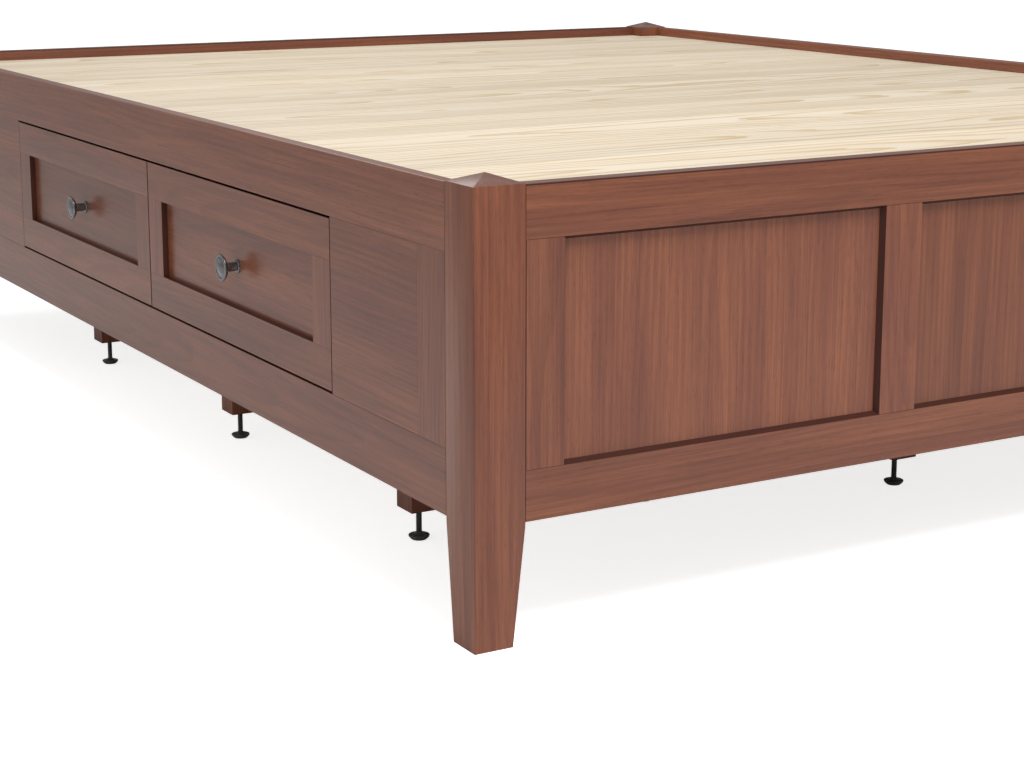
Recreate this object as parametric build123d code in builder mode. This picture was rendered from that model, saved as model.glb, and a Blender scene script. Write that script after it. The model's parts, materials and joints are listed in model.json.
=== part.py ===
"""Platform storage bed: stained hardwood frame and panel ends, a solid board deck,
two drawer cases on levelling legs and four full-extension drawers.

Frame: X across the bed, Y along it with the foot end at -Y, Z up, origin on the floor
under the middle of the bed. All sizes are in millimetres.
"""

import os
from math import radians, tan

from build123d import *

os.makedirs("parts", exist_ok=True)

# Overall size
bed_width = 1651.0
bed_length = 2133.6
post_shoulder_height = 508.0

# Corner posts: square above the rails, tapered on the two inner faces below them
post_side = 63.5
post_toe_side = 47.6
post_cap_rise = 10.5
post_edge_ease = 0.8

# Heights shared by the whole frame
frame_underside = 139.7
rail_top_step = 1.0
rail_edge_round = 2.4

# Side frames: two rails, a stile beside each post, filler panels and the drawer opening
side_thickness = 19.05
side_top_rail_height = 75.2
side_bottom_rail_height = 76.2
side_stile_width = 63.5
foot_filler_width = 222.25
drawer_pitch = 609.6
drawers_per_side = 2

# End frames: rails and uprights with a bevelled edge round each recessed panel
end_thickness = 25.4
end_top_rail_height = 62.7
end_bottom_rail_height = 61.2
end_stile_width = 52.1
mullion_width = 62.2
end_panels = 3
bevel_width = 4.1
bevel_depth = 7.9
panel_thickness = 6.35
panel_groove_depth = 9.5
panel_edge_gap = 1.5
tenon_thickness = 9.5
tenon_length = 25.4
tenon_shoulder = 6.35
mortise_end_gap = 1.0

# Thin glue lines left at the joints between boards of one assembly
glue_line = 0.1

# Deck of solid boards laid across the bed
deck_thickness = 19.05
deck_recess = 18.05
deck_board_width = 165.1
deck_first_seam = 110.9
deck_seam_gap = 0.8
deck_edge_gap = 1.0
deck_board_round = 0.6

# Bearers under the deck
ledger_width = 19.05
ledger_height = 25.4
centre_beam_width = 38.1
centre_beam_height = 88.9

# Drawer cases: a floor, upright partitions and a rear stretcher
case_panel_thickness = 19.05
case_room_behind_box = 53.9
case_floor_step = 6.35
case_dado_depth = 6.35
case_front_relief = 1.6
rear_stretcher_height = 76.2

# Legs under the cases and the centre beam, measured from the left side and the foot end
leg_side = 41.3
leg_foot_clearance = 41.3
outer_leg_from_side = 139.0
inner_leg_from_side = 481.0
case_leg_rows = {"foot": 395.0, "middle": 975.0, "head": 1557.0}
centre_leg_from_end = 285.0

# Levellers: a threaded stem on a round pad, in a nut sunk in the leg
leveler_stem_radius = 3.85
leveler_pad_radius = 13.7
leveler_pad_height = 7.6
leveler_sole_radius = 9.5
leveler_collar_radius = 5.2
leveler_collar_height = 9.4
leveler_socket_floor = 2.5
leveler_engagement = 22.0
leveler_running_gap = 0.05
stem_hole_gap = 0.65
stem_hole_end_gap = 2.0
nut_barrel_radius = 5.2
nut_barrel_length = 12.0
nut_flange_radius = 9.5
nut_flange_thickness = 1.5

# Drawer fronts
front_thickness = 19.05
front_gap = 3.0
front_member_width = 50.8
front_panel_recess = 8.5
front_panel_groove = 8.0

# Drawer boxes
box_wall = 12.7
box_height = 177.8
box_above_opening = 6.35
box_bottom_thickness = 6.35
box_bottom_rise = 12.7
box_bottom_groove = 6.0
box_bottom_play = 0.5
tails_per_corner = 4
tail_width = 30.0
tail_angle = 80.0

# Telescoping drawer slides: outer channel, middle channel and inner rail
slide_length = 508.0
slide_thickness = 12.7
slide_height = 45.0
slide_setback = 3.0
slide_gap = 0.3
slide_holes = 4
slide_hole_pitch = 128.0
slide_hole_radius = 2.25
outer_gauge = 1.4
middle_gauge = 1.2
outer_depth = 9.6
outer_lip = 5.0
middle_lip = 4.8
inner_lip = 3.8
outer_bend = 2.4
middle_bend = 1.5
inner_bend = 1.4

# Knobs
knob_head_radius = 17.75
knob_rim_width = 3.2
knob_rim_step = 0.9
knob_stem_radius = 6.15
knob_base_radius = 9.3
knob_base_thickness = 2.6
knob_neck_length = 13.5
knob_flare_depth = 6.2
knob_edge_thickness = 2.4
knob_dome_rise = 3.6
thread_gap = 0.05
knob_screw_radius = 2.0
knob_screw_hole_gap = 0.3
knob_screw_grip = 10.0
knob_screw_head_radius = 4.2
knob_screw_head_height = 2.2

# Corner brackets and their lag screws
bracket_gauge = 3.0
bracket_leg = 40.0
bracket_height = 50.0
bracket_levels = (250.0, 395.0)
screw_radius = 2.5
screw_hole_gap = 0.1
screw_grip = 14.0
screw_head_radius = 4.6
screw_head_height = 3.5
screw_pitch = 30.0
screw_from_bend = 26.0

# Derived places
box_depth = slide_length
case_depth = box_depth + case_room_behind_box + case_panel_thickness
half_width = bed_width / 2
half_length = bed_length / 2
rail_top = post_shoulder_height - rail_top_step
opening_bottom = frame_underside + side_bottom_rail_height
opening_top = rail_top - side_top_rail_height
opening_start = -half_length + post_side + side_stile_width + foot_filler_width
opening_end = opening_start + drawers_per_side * drawer_pitch
deck_top = rail_top - deck_recess
deck_underside = deck_top - deck_thickness
case_floor_underside = frame_underside + case_floor_step
case_floor_top = case_floor_underside + case_panel_thickness
leg_bottom = leg_foot_clearance
inner_face = half_width - side_thickness
end_inner_face = half_length - end_thickness
post_inner_x = half_width - post_side
post_inner_y = half_length - post_side
slide_centre_height = opening_bottom + box_above_opening + box_height / 2
knob_height = (opening_bottom + opening_top) / 2

SIDES = {"left": -1, "right": 1}
ENDS = {"foot": -1, "head": 1}


def save(builder, name):
    """Label a finished piece and write it to its own file."""
    builder.part.label = name
    export_step(builder.part, f"parts/{name}.step")


def save_group(builders, name):
    """Write the separate solids of several parts as one group."""
    solids = [solid for builder in builders for solid in builder.part.solids()]
    export_step(Compound(children=solids, label=name), f"parts/{name}.step")


def span(low, high):
    """Length and middle of a stretch from low to high."""
    return high - low, (low + high) / 2


def block(x_range, y_range, z_range, mode=Mode.ADD):
    """A box between two places along each axis, inside the open part."""
    (dx, cx), (dy, cy), (dz, cz) = span(*x_range), span(*y_range), span(*z_range)
    with Locations((cx, cy, cz)):
        return Box(abs(dx), abs(dy), abs(dz), mode=mode)


def drawer_span(index):
    """Y from the foot edge to the head edge of one drawer's place in the opening."""
    start = opening_start + index * drawer_pitch
    return start, start + drawer_pitch


def partition_spans():
    """Y range of each upright partition, from the foot end to the head end."""
    ends = (opening_start - case_panel_thickness, opening_start), (opening_end, opening_end + case_panel_thickness)
    seams = [drawer_span(i)[0] for i in range(1, drawers_per_side)]
    middles = [(seam - case_panel_thickness / 2, seam + case_panel_thickness / 2) for seam in seams]
    return [ends[0], *middles, ends[1]]


def bay_span(index):
    """Clear Y range between the partitions on either side of a drawer."""
    spans = partition_spans()
    return spans[index][1], spans[index + 1][0]


# Corner brackets: places are shared by the brackets, the screws and the pilot holes
def bracket_corners():
    """Every bracket as (side sign, end sign, height of its middle)."""
    return [(s, e, z) for s in SIDES.values() for e in ENDS.values() for z in bracket_levels]


def screw_heights(level):
    """Heights of the two screws in one leg of a bracket."""
    return level - screw_pitch / 2, level + screw_pitch / 2


def post_screw_axis(side, end, height):
    """Plane on the post's inner face, facing out of the post, where a screw enters."""
    origin = (side * (inner_face - screw_from_bend), end * post_inner_y, height)
    return Plane(origin=origin, x_dir=(1, 0, 0), z_dir=(0, -end, 0))


def stile_screw_axis(side, end, height):
    """Plane on the stile's inner face, facing into the bed, where a screw enters."""
    origin = (side * inner_face, end * (post_inner_y - screw_from_bend), height)
    return Plane(origin=origin, x_dir=(0, 1, 0), z_dir=(-side, 0, 0))


def drill(planes, radius, depth):
    """Blind holes from each plane into the open part, against the plane's direction."""
    for plane in planes:
        with BuildSketch(plane) as section:
            Circle(radius)
        extrude(section.sketch, amount=-depth, mode=Mode.SUBTRACT)


# Corner posts
def post(side, end, name):
    centre = side * (half_width - post_side / 2), end * (half_length - post_side / 2)
    toe_centre = side * (half_width - post_toe_side / 2), end * (half_length - post_toe_side / 2)
    with BuildPart() as piece:
        with BuildSketch(Plane.XY):
            with Locations(toe_centre):
                Rectangle(post_toe_side, post_toe_side)
        with BuildSketch(Plane.XY.offset(frame_underside)):
            with Locations(centre):
                Rectangle(post_side, post_side)
        loft()
        with BuildSketch(Plane.XY.offset(frame_underside)):
            with Locations(centre):
                Rectangle(post_side, post_side)
        extrude(amount=post_shoulder_height - frame_underside)
        chamfer(piece.edges().filter_by(Axis.Z), post_edge_ease)
        shoulder = piece.faces().sort_by(Axis.Z)[-1]
        loft(sections=[shoulder, Vertex(*centre, post_shoulder_height + post_cap_rise)])
        for low, high in end_rail_heights():
            block(
                (side * post_inner_x, side * (post_inner_x + tenon_length + mortise_end_gap)),
                end_tenon_span(end),
                (low + tenon_shoulder, high - tenon_shoulder),
                mode=Mode.SUBTRACT,
            )
        screws = [post_screw_axis(side, end, z) for level in bracket_levels for z in screw_heights(level)]
        drill(screws, screw_radius, screw_grip)
    save(piece, name)


# End frames
def end_rail_heights():
    """Bottom and top of the two end rails, lower rail first."""
    lower = frame_underside, frame_underside + end_bottom_rail_height
    upper = rail_top - end_top_rail_height, rail_top
    return lower, upper


def end_depth(end, depth):
    """Y of a place at a depth behind the outer face of an end frame."""
    return end * (half_length - depth)


def end_tenon_span(end):
    """Y range of the tenons, in the middle of the end frame's thickness."""
    middle = end_thickness / 2
    return end_depth(end, middle - tenon_thickness / 2), end_depth(end, middle + tenon_thickness / 2)


def end_rail(end, low, high, panel_edge, name):
    """Rail with a bevel and a panel groove along one edge, and a tenon at each end."""
    into = 1 if panel_edge == high else -1
    groove_end = bevel_depth + panel_thickness
    outline = [
        (0, low if into == 1 else high),
        (0, panel_edge - into * bevel_width),
        (bevel_depth, panel_edge),
        (bevel_depth, panel_edge - into * panel_groove_depth),
        (groove_end, panel_edge - into * panel_groove_depth),
        (groove_end, panel_edge),
        (end_thickness, panel_edge),
        (end_thickness, low if into == 1 else high),
    ]
    with BuildPart() as piece:
        with BuildSketch(Plane.YZ):
            with BuildLine():
                Polyline(*[(end_depth(end, depth), height) for depth, height in outline], close=True)
            make_face()
        extrude(amount=post_inner_x, both=True)
        if into == -1:
            fillet(piece.edges().filter_by(Axis.X).group_by(Axis.Z)[-1], rail_edge_round)
        for side in SIDES.values():
            block(
                (side * post_inner_x, side * (post_inner_x + tenon_length)),
                end_tenon_span(end),
                (low + tenon_shoulder, high - tenon_shoulder),
            )
    save(piece, name)
    return piece


def upright_outline(left, right, left_panel, right_panel):
    """Section of a stile or mullion, with a bevel and a groove on each edge beside a panel."""
    groove_end = bevel_depth + panel_thickness
    left_edge = [(left, end_thickness), (left, 0)]
    right_edge = [(right, 0), (right, end_thickness)]
    if left_panel:
        left_edge = [
            (left, end_thickness), (left, groove_end), (left + panel_groove_depth, groove_end),
            (left + panel_groove_depth, bevel_depth), (left, bevel_depth), (left + bevel_width, 0),
        ]
    if right_panel:
        right_edge = [
            (right - bevel_width, 0), (right, bevel_depth), (right - panel_groove_depth, bevel_depth),
            (right - panel_groove_depth, groove_end), (right, groove_end), (right, end_thickness),
        ]
    return left_edge + right_edge


def end_upright_spans():
    """X range of each upright between the posts, and whether a panel lies on its left and right."""
    inside = 2 * (post_inner_x - end_stile_width)
    panel_width = (inside - (end_panels - 1) * mullion_width) / end_panels
    spans = [(-post_inner_x, -post_inner_x + end_stile_width, False, True)]
    for i in range(1, end_panels):
        start = spans[-1][1] + panel_width
        spans.append((start, start + mullion_width, True, True))
    spans.append((post_inner_x - end_stile_width, post_inner_x, True, False))
    return spans


def end_stiles(end, rails, name):
    """Stiles and mullions, coped over the rails' bevels and tongued into their grooves."""
    (_, bottom), (top, _) = end_rail_heights()
    with BuildPart() as piece:
        with BuildSketch(Plane.XY.offset(bottom - panel_groove_depth)):
            for upright in end_upright_spans():
                with BuildLine():
                    Polyline(*[(x, end_depth(end, depth)) for x, depth in upright_outline(*upright)], close=True)
                make_face()
        extrude(amount=top - bottom + 2 * panel_groove_depth)
        for rail in rails:
            add(rail.part, mode=Mode.SUBTRACT)
    save(piece, name)


def end_panel_set(end, name):
    """Flat panels held in the grooves of the rails and uprights."""
    (_, bottom), (top, _) = end_rail_heights()
    reach = panel_groove_depth - panel_edge_gap
    uprights = end_upright_spans()
    with BuildPart() as piece:
        for left, right in zip(uprights, uprights[1:]):
            block(
                (left[1] - reach, right[0] + reach),
                (end_depth(end, bevel_depth), end_depth(end, bevel_depth + panel_thickness)),
                (bottom - reach, top + reach),
            )
    save(piece, name)


# Side frames
def side_rail(side, low, high, name):
    with BuildPart() as piece:
        block((side * inner_face, side * half_width), (-post_inner_y, post_inner_y), (low, high))
        if high == rail_top:
            fillet(piece.edges().filter_by(Axis.Y).group_by(Axis.Z)[-1], rail_edge_round)
    save(piece, name)


def side_stiles(name):
    """Uprights beside the posts, between the side rails."""
    with BuildPart() as piece:
        for side in SIDES.values():
            for end in ENDS.values():
                block(
                    (side * inner_face, side * half_width),
                    (end * (post_inner_y - side_stile_width), end * post_inner_y),
                    (opening_bottom, opening_top),
                )
        screws = [stile_screw_axis(s, e, z) for s, e, level in bracket_corners() for z in screw_heights(level)]
        drill(screws, screw_radius, screw_grip)
    save(piece, name)


def side_fillers(name):
    """Flush panels that close the side frame on either side of the drawers."""
    stile_edge = post_inner_y - side_stile_width
    with BuildPart() as piece:
        for side in SIDES.values():
            for y_range in ((-stile_edge, opening_start), (opening_end, stile_edge)):
                block((side * inner_face, side * half_width), y_range, (opening_bottom, opening_top))
    save(piece, name)


# Deck
def deck_board_spans():
    """Y range of each board, from the foot end to the head end."""
    start = -end_inner_face + deck_edge_gap
    finish = end_inner_face - deck_edge_gap
    edges = [start]
    seam = -half_length + deck_first_seam
    while seam < finish - deck_board_width / 2:
        edges.append(seam)
        seam += deck_board_width
    edges.append(finish)
    gap = deck_seam_gap / 2
    inner = range(len(edges) - 1)
    last = len(edges) - 2
    return [(edges[i] + (gap if i else 0), edges[i + 1] - (gap if i < last else 0)) for i in inner]


def deck_boards(name):
    reach = inner_face - deck_edge_gap
    notch_x = post_inner_x - deck_edge_gap
    notch_y = post_inner_y - deck_edge_gap
    with BuildPart() as piece:
        for y_range in deck_board_spans():
            block((-reach, reach), y_range, (deck_underside, deck_top))
        chamfer(piece.edges().filter_by(Axis.X).group_by(Axis.Z)[-1], deck_board_round)
        for side in SIDES.values():
            for end in ENDS.values():
                block(
                    (side * notch_x, side * half_width),
                    (end * notch_y, end * half_length),
                    (deck_underside, deck_top),
                    mode=Mode.SUBTRACT,
                )
    save(piece, name)


def deck_bearers(name):
    """Ledgers screwed round the inside of the frame and the beam down the middle."""
    ledger_span = deck_underside - ledger_height, deck_underside
    beam_span = deck_underside - centre_beam_height, deck_underside
    beam_end = end_inner_face - ledger_width
    beam_half = centre_beam_width / 2
    with BuildPart() as side_ledgers:
        for side in SIDES.values():
            x_range = side * (inner_face - ledger_width), side * inner_face
            block(x_range, (-post_inner_y, post_inner_y), ledger_span)
    with BuildPart() as end_ledgers:
        for end in ENDS.values():
            block((-post_inner_x, post_inner_x), (end * beam_end, end * end_inner_face), ledger_span)
    with BuildPart() as centre_beam:
        block((-beam_half, beam_half), (-beam_end, beam_end), beam_span)
    save_group((side_ledgers, end_ledgers, centre_beam), name)


# Drawer cases
def drawer_cases(name):
    case_back = inner_face - case_depth
    partition_back = case_back + case_panel_thickness
    partition_foot = case_floor_top - case_dado_depth
    spans = partition_spans()
    case_span = spans[0][0], spans[-1][1]
    with BuildPart() as floors:
        for side in SIDES.values():
            x_range = side * case_back, side * inner_face
            block(x_range, case_span, (case_floor_underside, case_floor_top))
            for low, high in spans:
                dado = low - glue_line, high + glue_line
                block(x_range, dado, (partition_foot, case_floor_top), mode=Mode.SUBTRACT)
    with BuildPart() as uprights:
        for side in SIDES.values():
            x_range = side * (partition_back + glue_line), side * (inner_face - glue_line)
            for y_range in spans:
                block(x_range, y_range, (partition_foot, deck_underside))
            block(
                (side * (inner_face - ledger_width), side * inner_face),
                case_span,
                (deck_underside - ledger_height, deck_underside),
                mode=Mode.SUBTRACT,
            )
            block(
                (side * (inner_face - case_front_relief), side * inner_face),
                (opening_start, opening_end),
                (opening_bottom, opening_top),
                mode=Mode.SUBTRACT,
            )
    with BuildPart() as stretchers:
        for side in SIDES.values():
            block(
                (side * case_back, side * partition_back),
                case_span,
                (deck_underside - rear_stretcher_height, deck_underside),
            )
    save_group((floors, uprights, stretchers), name)


# Legs, levelling feet and their nuts
def leg_places():
    """Every leg as name: (x, y, height of its top)."""
    columns = {
        "left_outer": -half_width + outer_leg_from_side,
        "left_inner": -half_width + inner_leg_from_side,
        "right_inner": half_width - inner_leg_from_side,
        "right_outer": half_width - outer_leg_from_side,
    }
    places = {}
    for column, x in columns.items():
        for row, from_foot in case_leg_rows.items():
            places[f"{column}_{row}"] = (x, -half_length + from_foot, case_floor_underside)
    beam_underside = deck_underside - centre_beam_height
    for row, end in ENDS.items():
        places[f"centre_{row}"] = (0.0, end * (half_length - centre_leg_from_end), beam_underside)
    return places


def support_legs(name):
    stem_top = leg_bottom + leveler_engagement
    with BuildPart() as piece:
        for x, y, top in leg_places().values():
            block((x - leg_side / 2, x + leg_side / 2), (y - leg_side / 2, y + leg_side / 2), (leg_bottom, top))
        centres = [(x, y) for x, y, _ in leg_places().values()]
        bores = (
            (nut_flange_radius, nut_flange_thickness),
            (nut_barrel_radius, nut_flange_thickness + nut_barrel_length),
            (leveler_stem_radius + stem_hole_gap, stem_top + stem_hole_end_gap - leg_bottom),
        )
        for radius, depth in bores:
            with BuildSketch(Plane.XY.offset(leg_bottom)):
                with Locations(*centres):
                    Circle(radius)
            extrude(amount=depth, mode=Mode.SUBTRACT)
    save(piece, name)


def leveler_nuts(name):
    """Flanged barrel nuts pressed into the legs."""
    with BuildPart() as piece:
        centres = [(x, y) for x, y, _ in leg_places().values()]
        for radius, depth in (
            (nut_flange_radius, nut_flange_thickness),
            (nut_barrel_radius, nut_flange_thickness + nut_barrel_length),
        ):
            with BuildSketch(Plane.XY.offset(leg_bottom)):
                with Locations(*centres):
                    Circle(radius)
            extrude(amount=depth)
        with BuildSketch(Plane.XY.offset(leg_bottom)):
            with Locations(*centres):
                Circle(leveler_stem_radius + leveler_running_gap)
        extrude(amount=nut_flange_thickness + nut_barrel_length, mode=Mode.SUBTRACT)
    save(piece, name)


def leveler(x, y, name):
    """Threaded stem set in a moulded pad whose sole is rounded up to its rim."""
    profile = Plane((x, y, 0), x_dir=(1, 0, 0), z_dir=(0, -1, 0))
    axis = Axis((x, y, 0), (0, 0, 1))
    with BuildPart() as pad:
        with BuildSketch(profile):
            with BuildLine():
                Line((0, 0), (leveler_sole_radius, 0))
                rim = RadiusArc(
                    (leveler_sole_radius, 0), (leveler_pad_radius, leveler_pad_height * 0.72), -leveler_pad_height
                )
                Polyline(
                    rim @ 1,
                    (leveler_pad_radius - 0.6, leveler_pad_height * 0.86),
                    (leveler_collar_radius, leveler_pad_height),
                    (leveler_collar_radius, leveler_collar_height),
                    (leveler_stem_radius + thread_gap, leveler_collar_height),
                    (leveler_stem_radius + thread_gap, leveler_socket_floor),
                    (0, leveler_socket_floor),
                    (0, 0),
                )
            make_face()
        revolve(axis=axis)
    with BuildPart() as stem:
        with BuildSketch(Plane((x, y, leveler_socket_floor))):
            Circle(leveler_stem_radius)
        extrude(amount=leg_bottom + leveler_engagement - leveler_socket_floor)
        chamfer(stem.edges().group_by(Axis.Z)[-1], 0.8)
    save_group((pad, stem), name)


# Drawers
def front_span(index):
    """Y range of a drawer front inside its place."""
    low, high = drawer_span(index)
    return low + front_gap / 2, high - front_gap / 2


def knob_axis(side, index, x):
    """Plane facing out of the bed at a place along the knob's axis."""
    low, high = front_span(index)
    return Plane(origin=(x, (low + high) / 2, knob_height), x_dir=(0, 1, 0), z_dir=(side, 0, 0))


def drawer_front(side, index, name):
    """Two rails, two stiles and a flat panel set in their grooves."""
    y_low, y_high = front_span(index)
    z_low, z_high = opening_bottom + front_gap, opening_top - front_gap
    face_x, back_x = side * half_width, side * (half_width - front_thickness)
    groove = side * (half_width - front_panel_recess), side * (half_width - front_panel_recess - panel_thickness)
    y_in = y_low + front_member_width, y_high - front_member_width
    z_in = z_low + front_member_width, z_high - front_member_width
    y_panel = y_in[0] - front_panel_groove, y_in[1] + front_panel_groove
    z_panel = z_in[0] - front_panel_groove, z_in[1] + front_panel_groove
    members = []
    for z_range in ((z_low, z_in[0]), (z_in[1], z_high)):
        with BuildPart() as rail:
            block((face_x, back_x), (y_low, y_high), z_range)
            block(groove, y_panel, z_panel, mode=Mode.SUBTRACT)
        members.append(rail)
    for y_range in ((y_low, y_in[0]), (y_in[1], y_high)):
        with BuildPart() as stile:
            block((face_x, back_x), y_range, (z_in[0] + glue_line, z_in[1] - glue_line))
            block(groove, y_panel, z_panel, mode=Mode.SUBTRACT)
        members.append(stile)
    with BuildPart() as panel:
        edge = panel_edge_gap
        block(groove, (y_panel[0] + edge, y_panel[1] - edge), (z_panel[0] + edge, z_panel[1] - edge))
        drill([knob_axis(side, index, groove[0])], knob_screw_radius + knob_screw_hole_gap, panel_thickness)
    members.append(panel)
    save_group(members, name)


def box_span(index):
    """Y range over the drawer box, between its two slides."""
    low, high = bay_span(index)
    return low + slide_thickness, high - slide_thickness


def tail_outlines(x_shoulder, x_end, play):
    """Dovetails on a box side: each widens from the shoulder to the board's end."""
    z_low = opening_bottom + box_above_opening
    pitch = box_height / tails_per_corner
    spread = abs(x_end - x_shoulder) / tan(radians(tail_angle))
    half_root, half_tip = tail_width / 2 - spread + play, tail_width / 2 + play
    for i in range(tails_per_corner):
        middle = z_low + pitch * (i + 0.5)
        yield (
            (x_shoulder, middle - half_root),
            (x_end, middle - half_tip),
            (x_end, middle + half_tip),
            (x_shoulder, middle + half_root),
        )


def dovetails(ends, y_range, mode=Mode.ADD, play=0.0):
    """Tails at both ends of a box side, or their sockets cut a little wider."""
    outlines = [outline for shoulder, end in ends for outline in tail_outlines(shoulder, end, play)]
    with BuildSketch(Plane.XZ.offset(-y_range[0])) as section:
        for outline in outlines:
            with BuildLine():
                Polyline(*outline, close=True)
            make_face()
    extrude(section.sketch, amount=y_range[0] - y_range[1], mode=mode)


def drawer_box(side, index, name):
    """Dovetailed box with a plywood bottom in grooves."""
    y_low, y_high = box_span(index)
    z_low = opening_bottom + box_above_opening
    z_range = z_low, z_low + box_height
    x_front = side * (half_width - front_thickness)
    x_back = side * (half_width - front_thickness - box_depth)
    x_front_in = x_front - side * box_wall
    x_back_in = x_back + side * box_wall
    shoulders = x_front_in - side * glue_line, x_back_in + side * glue_line
    bottom = z_low + box_bottom_rise, z_low + box_bottom_rise + box_bottom_thickness
    y_in = y_low + box_wall, y_high - box_wall
    groove_x = x_front_in + side * box_bottom_groove, x_back_in - side * box_bottom_groove
    groove_y = y_in[0] - box_bottom_groove, y_in[1] + box_bottom_groove
    tail_ends = (shoulders[0], x_front), (shoulders[1], x_back)

    walls = []
    for y_range in ((y_low, y_in[0]), (y_in[1], y_high)):
        with BuildPart() as wall:
            block(shoulders, y_range, z_range)
            dovetails(tail_ends, y_range)
            block(groove_x, groove_y, bottom, mode=Mode.SUBTRACT)
        walls.append(wall)
    for x_range in ((x_front, x_front_in), (x_back_in, x_back)):
        with BuildPart() as wall:
            block(x_range, (y_low, y_high), z_range)
            dovetails(tail_ends, (y_low, y_in[0] + glue_line), Mode.SUBTRACT, glue_line)
            dovetails(tail_ends, (y_in[1] - glue_line, y_high), Mode.SUBTRACT, glue_line)
            block(groove_x, groove_y, bottom, mode=Mode.SUBTRACT)
            drill([knob_axis(side, index, x_front)], knob_screw_radius + knob_screw_hole_gap, box_wall)
        walls.append(wall)
    play = box_bottom_play
    with BuildPart() as base:
        base_x = groove_x[0] - side * play, groove_x[1] + side * play
        block(base_x, (groove_y[0] + play, groove_y[1] - play), bottom)
    walls.append(base)
    save_group(walls, name)


def drawer_knob(side, index, name):
    """Turned knob with a domed face on the front panel, and the screw that holds it from inside the box."""
    panel_face = side * (half_width - front_panel_recess)
    origin = knob_axis(side, index, panel_face).origin
    neck_end = knob_base_thickness + knob_neck_length
    edge_start = neck_end + knob_flare_depth
    edge_end = edge_start + knob_edge_thickness
    dish_radius = knob_head_radius - knob_rim_width
    dome_top = edge_end - knob_rim_step + knob_dome_rise
    with BuildPart() as piece:
        with BuildSketch(Plane(origin=origin, x_dir=(0, 1, 0), z_dir=(0, 0, -side))):
            with BuildLine():
                Polyline((0, 0), (knob_base_radius, 0), (knob_base_radius, knob_base_thickness * 0.6))
                base = RadiusArc(
                    (knob_base_radius, knob_base_thickness * 0.6),
                    (knob_stem_radius, knob_base_thickness + 0.8),
                    -knob_base_thickness * 1.6,
                )
                neck = Line(base @ 1, (knob_stem_radius, neck_end))
                flare = RadiusArc(neck @ 1, (knob_head_radius, edge_start), -knob_head_radius)
                edge = ThreePointArc(
                    flare @ 1,
                    (knob_head_radius + 0.5, (edge_start + edge_end) / 2),
                    (knob_head_radius - 0.7, edge_end),
                )
                rim = Polyline(edge @ 1, (dish_radius, edge_end), (dish_radius - 0.6, edge_end - knob_rim_step))
                TangentArc((0, dome_top), rim @ 1, tangent=(1, 0))
                Line((0, dome_top), (0, 0))
            make_face()
        revolve(axis=Axis(origin, (side, 0, 0)))
        bore_end = knob_axis(side, index, panel_face + side * (knob_screw_grip + glue_line))
        drill([bore_end], knob_screw_radius + thread_gap, knob_screw_grip + glue_line)
    box_inside = side * (inner_face - box_wall)
    with BuildPart() as screw:
        with BuildSketch(knob_axis(side, index, box_inside)):
            Circle(knob_screw_radius)
        extrude(amount=abs(panel_face - box_inside) + knob_screw_grip)
        with BuildSketch(knob_axis(side, index, box_inside)):
            Circle(knob_screw_head_radius)
        extrude(amount=-knob_screw_head_height)
    save_group((piece, screw), name)


# Drawer slides: each section is a bent strip, drawn along its outer face as (depth, height) from the partition
def slide_members():
    """Outer face, gauge and bend radius of the outer channel, middle channel and inner rail."""
    outer_top = slide_height / 2
    middle_back = outer_gauge + slide_gap
    middle_front = outer_depth - outer_gauge - slide_gap
    middle_top = outer_top - outer_gauge - slide_gap
    inner_back = middle_back + middle_gauge + slide_gap
    inner_top = middle_top - middle_gauge - slide_gap
    body_top = inner_top - inner_lip
    outer = channel_path(0, outer_depth, outer_top, outer_lip), outer_gauge, outer_bend
    middle = channel_path(middle_back, middle_front, middle_top, middle_lip), middle_gauge, middle_bend
    flange = inner_back + middle_gauge
    hat = [(flange, -inner_top), (flange, -body_top), (slide_thickness, -body_top)]
    inner = hat + [(depth, -height) for depth, height in reversed(hat)], middle_gauge, inner_bend
    return outer, middle, inner


def channel_path(back, front, top, lip):
    """Outer face of a C-shaped channel whose lips turn in along its open side."""
    upper = [(front, top - lip), (front, top), (back, top)]
    return upper + [(depth, -height) for depth, height in reversed(upper)]


def slide_pair(side, index, member):
    """One member of the slides on both sides of a drawer, with its row of screw holes."""
    path, gauge, bend = member
    bay_low, bay_high = bay_span(index)
    x_start = side * (inner_face - slide_setback)
    x_middle = x_start - side * slide_length / 2
    for wall, direction in ((bay_low, 1), (bay_high, -1)):
        with BuildSketch(Plane(origin=(x_start, wall, slide_centre_height), x_dir=(0, 1, 0), z_dir=(1, 0, 0))) as section:
            with BuildLine():
                FilletPolyline(*[(direction * depth, height) for depth, height in path], radius=bend)
                offset(amount=gauge, side=Side.LEFT if direction == 1 else Side.RIGHT)
            make_face()
        extrude(section.sketch, amount=-side * slide_length)
        with BuildSketch(Plane(origin=(x_middle, wall, slide_centre_height), x_dir=(1, 0, 0), z_dir=(0, -direction, 0))) as holes:
            with GridLocations(slide_hole_pitch, 0, slide_holes, 1):
                Circle(slide_hole_radius)
        extrude(holes.sketch, amount=-slide_thickness, mode=Mode.SUBTRACT)


def slide_channels(name):
    """Outer channels screwed to the partitions."""
    outer, _, _ = slide_members()
    with BuildPart() as piece:
        for side in SIDES.values():
            for index in range(drawers_per_side):
                slide_pair(side, index, outer)
    save(piece, name)


def slide_member(side, index, member, name):
    with BuildPart() as piece:
        slide_pair(side, index, member)
    save(piece, name)


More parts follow.
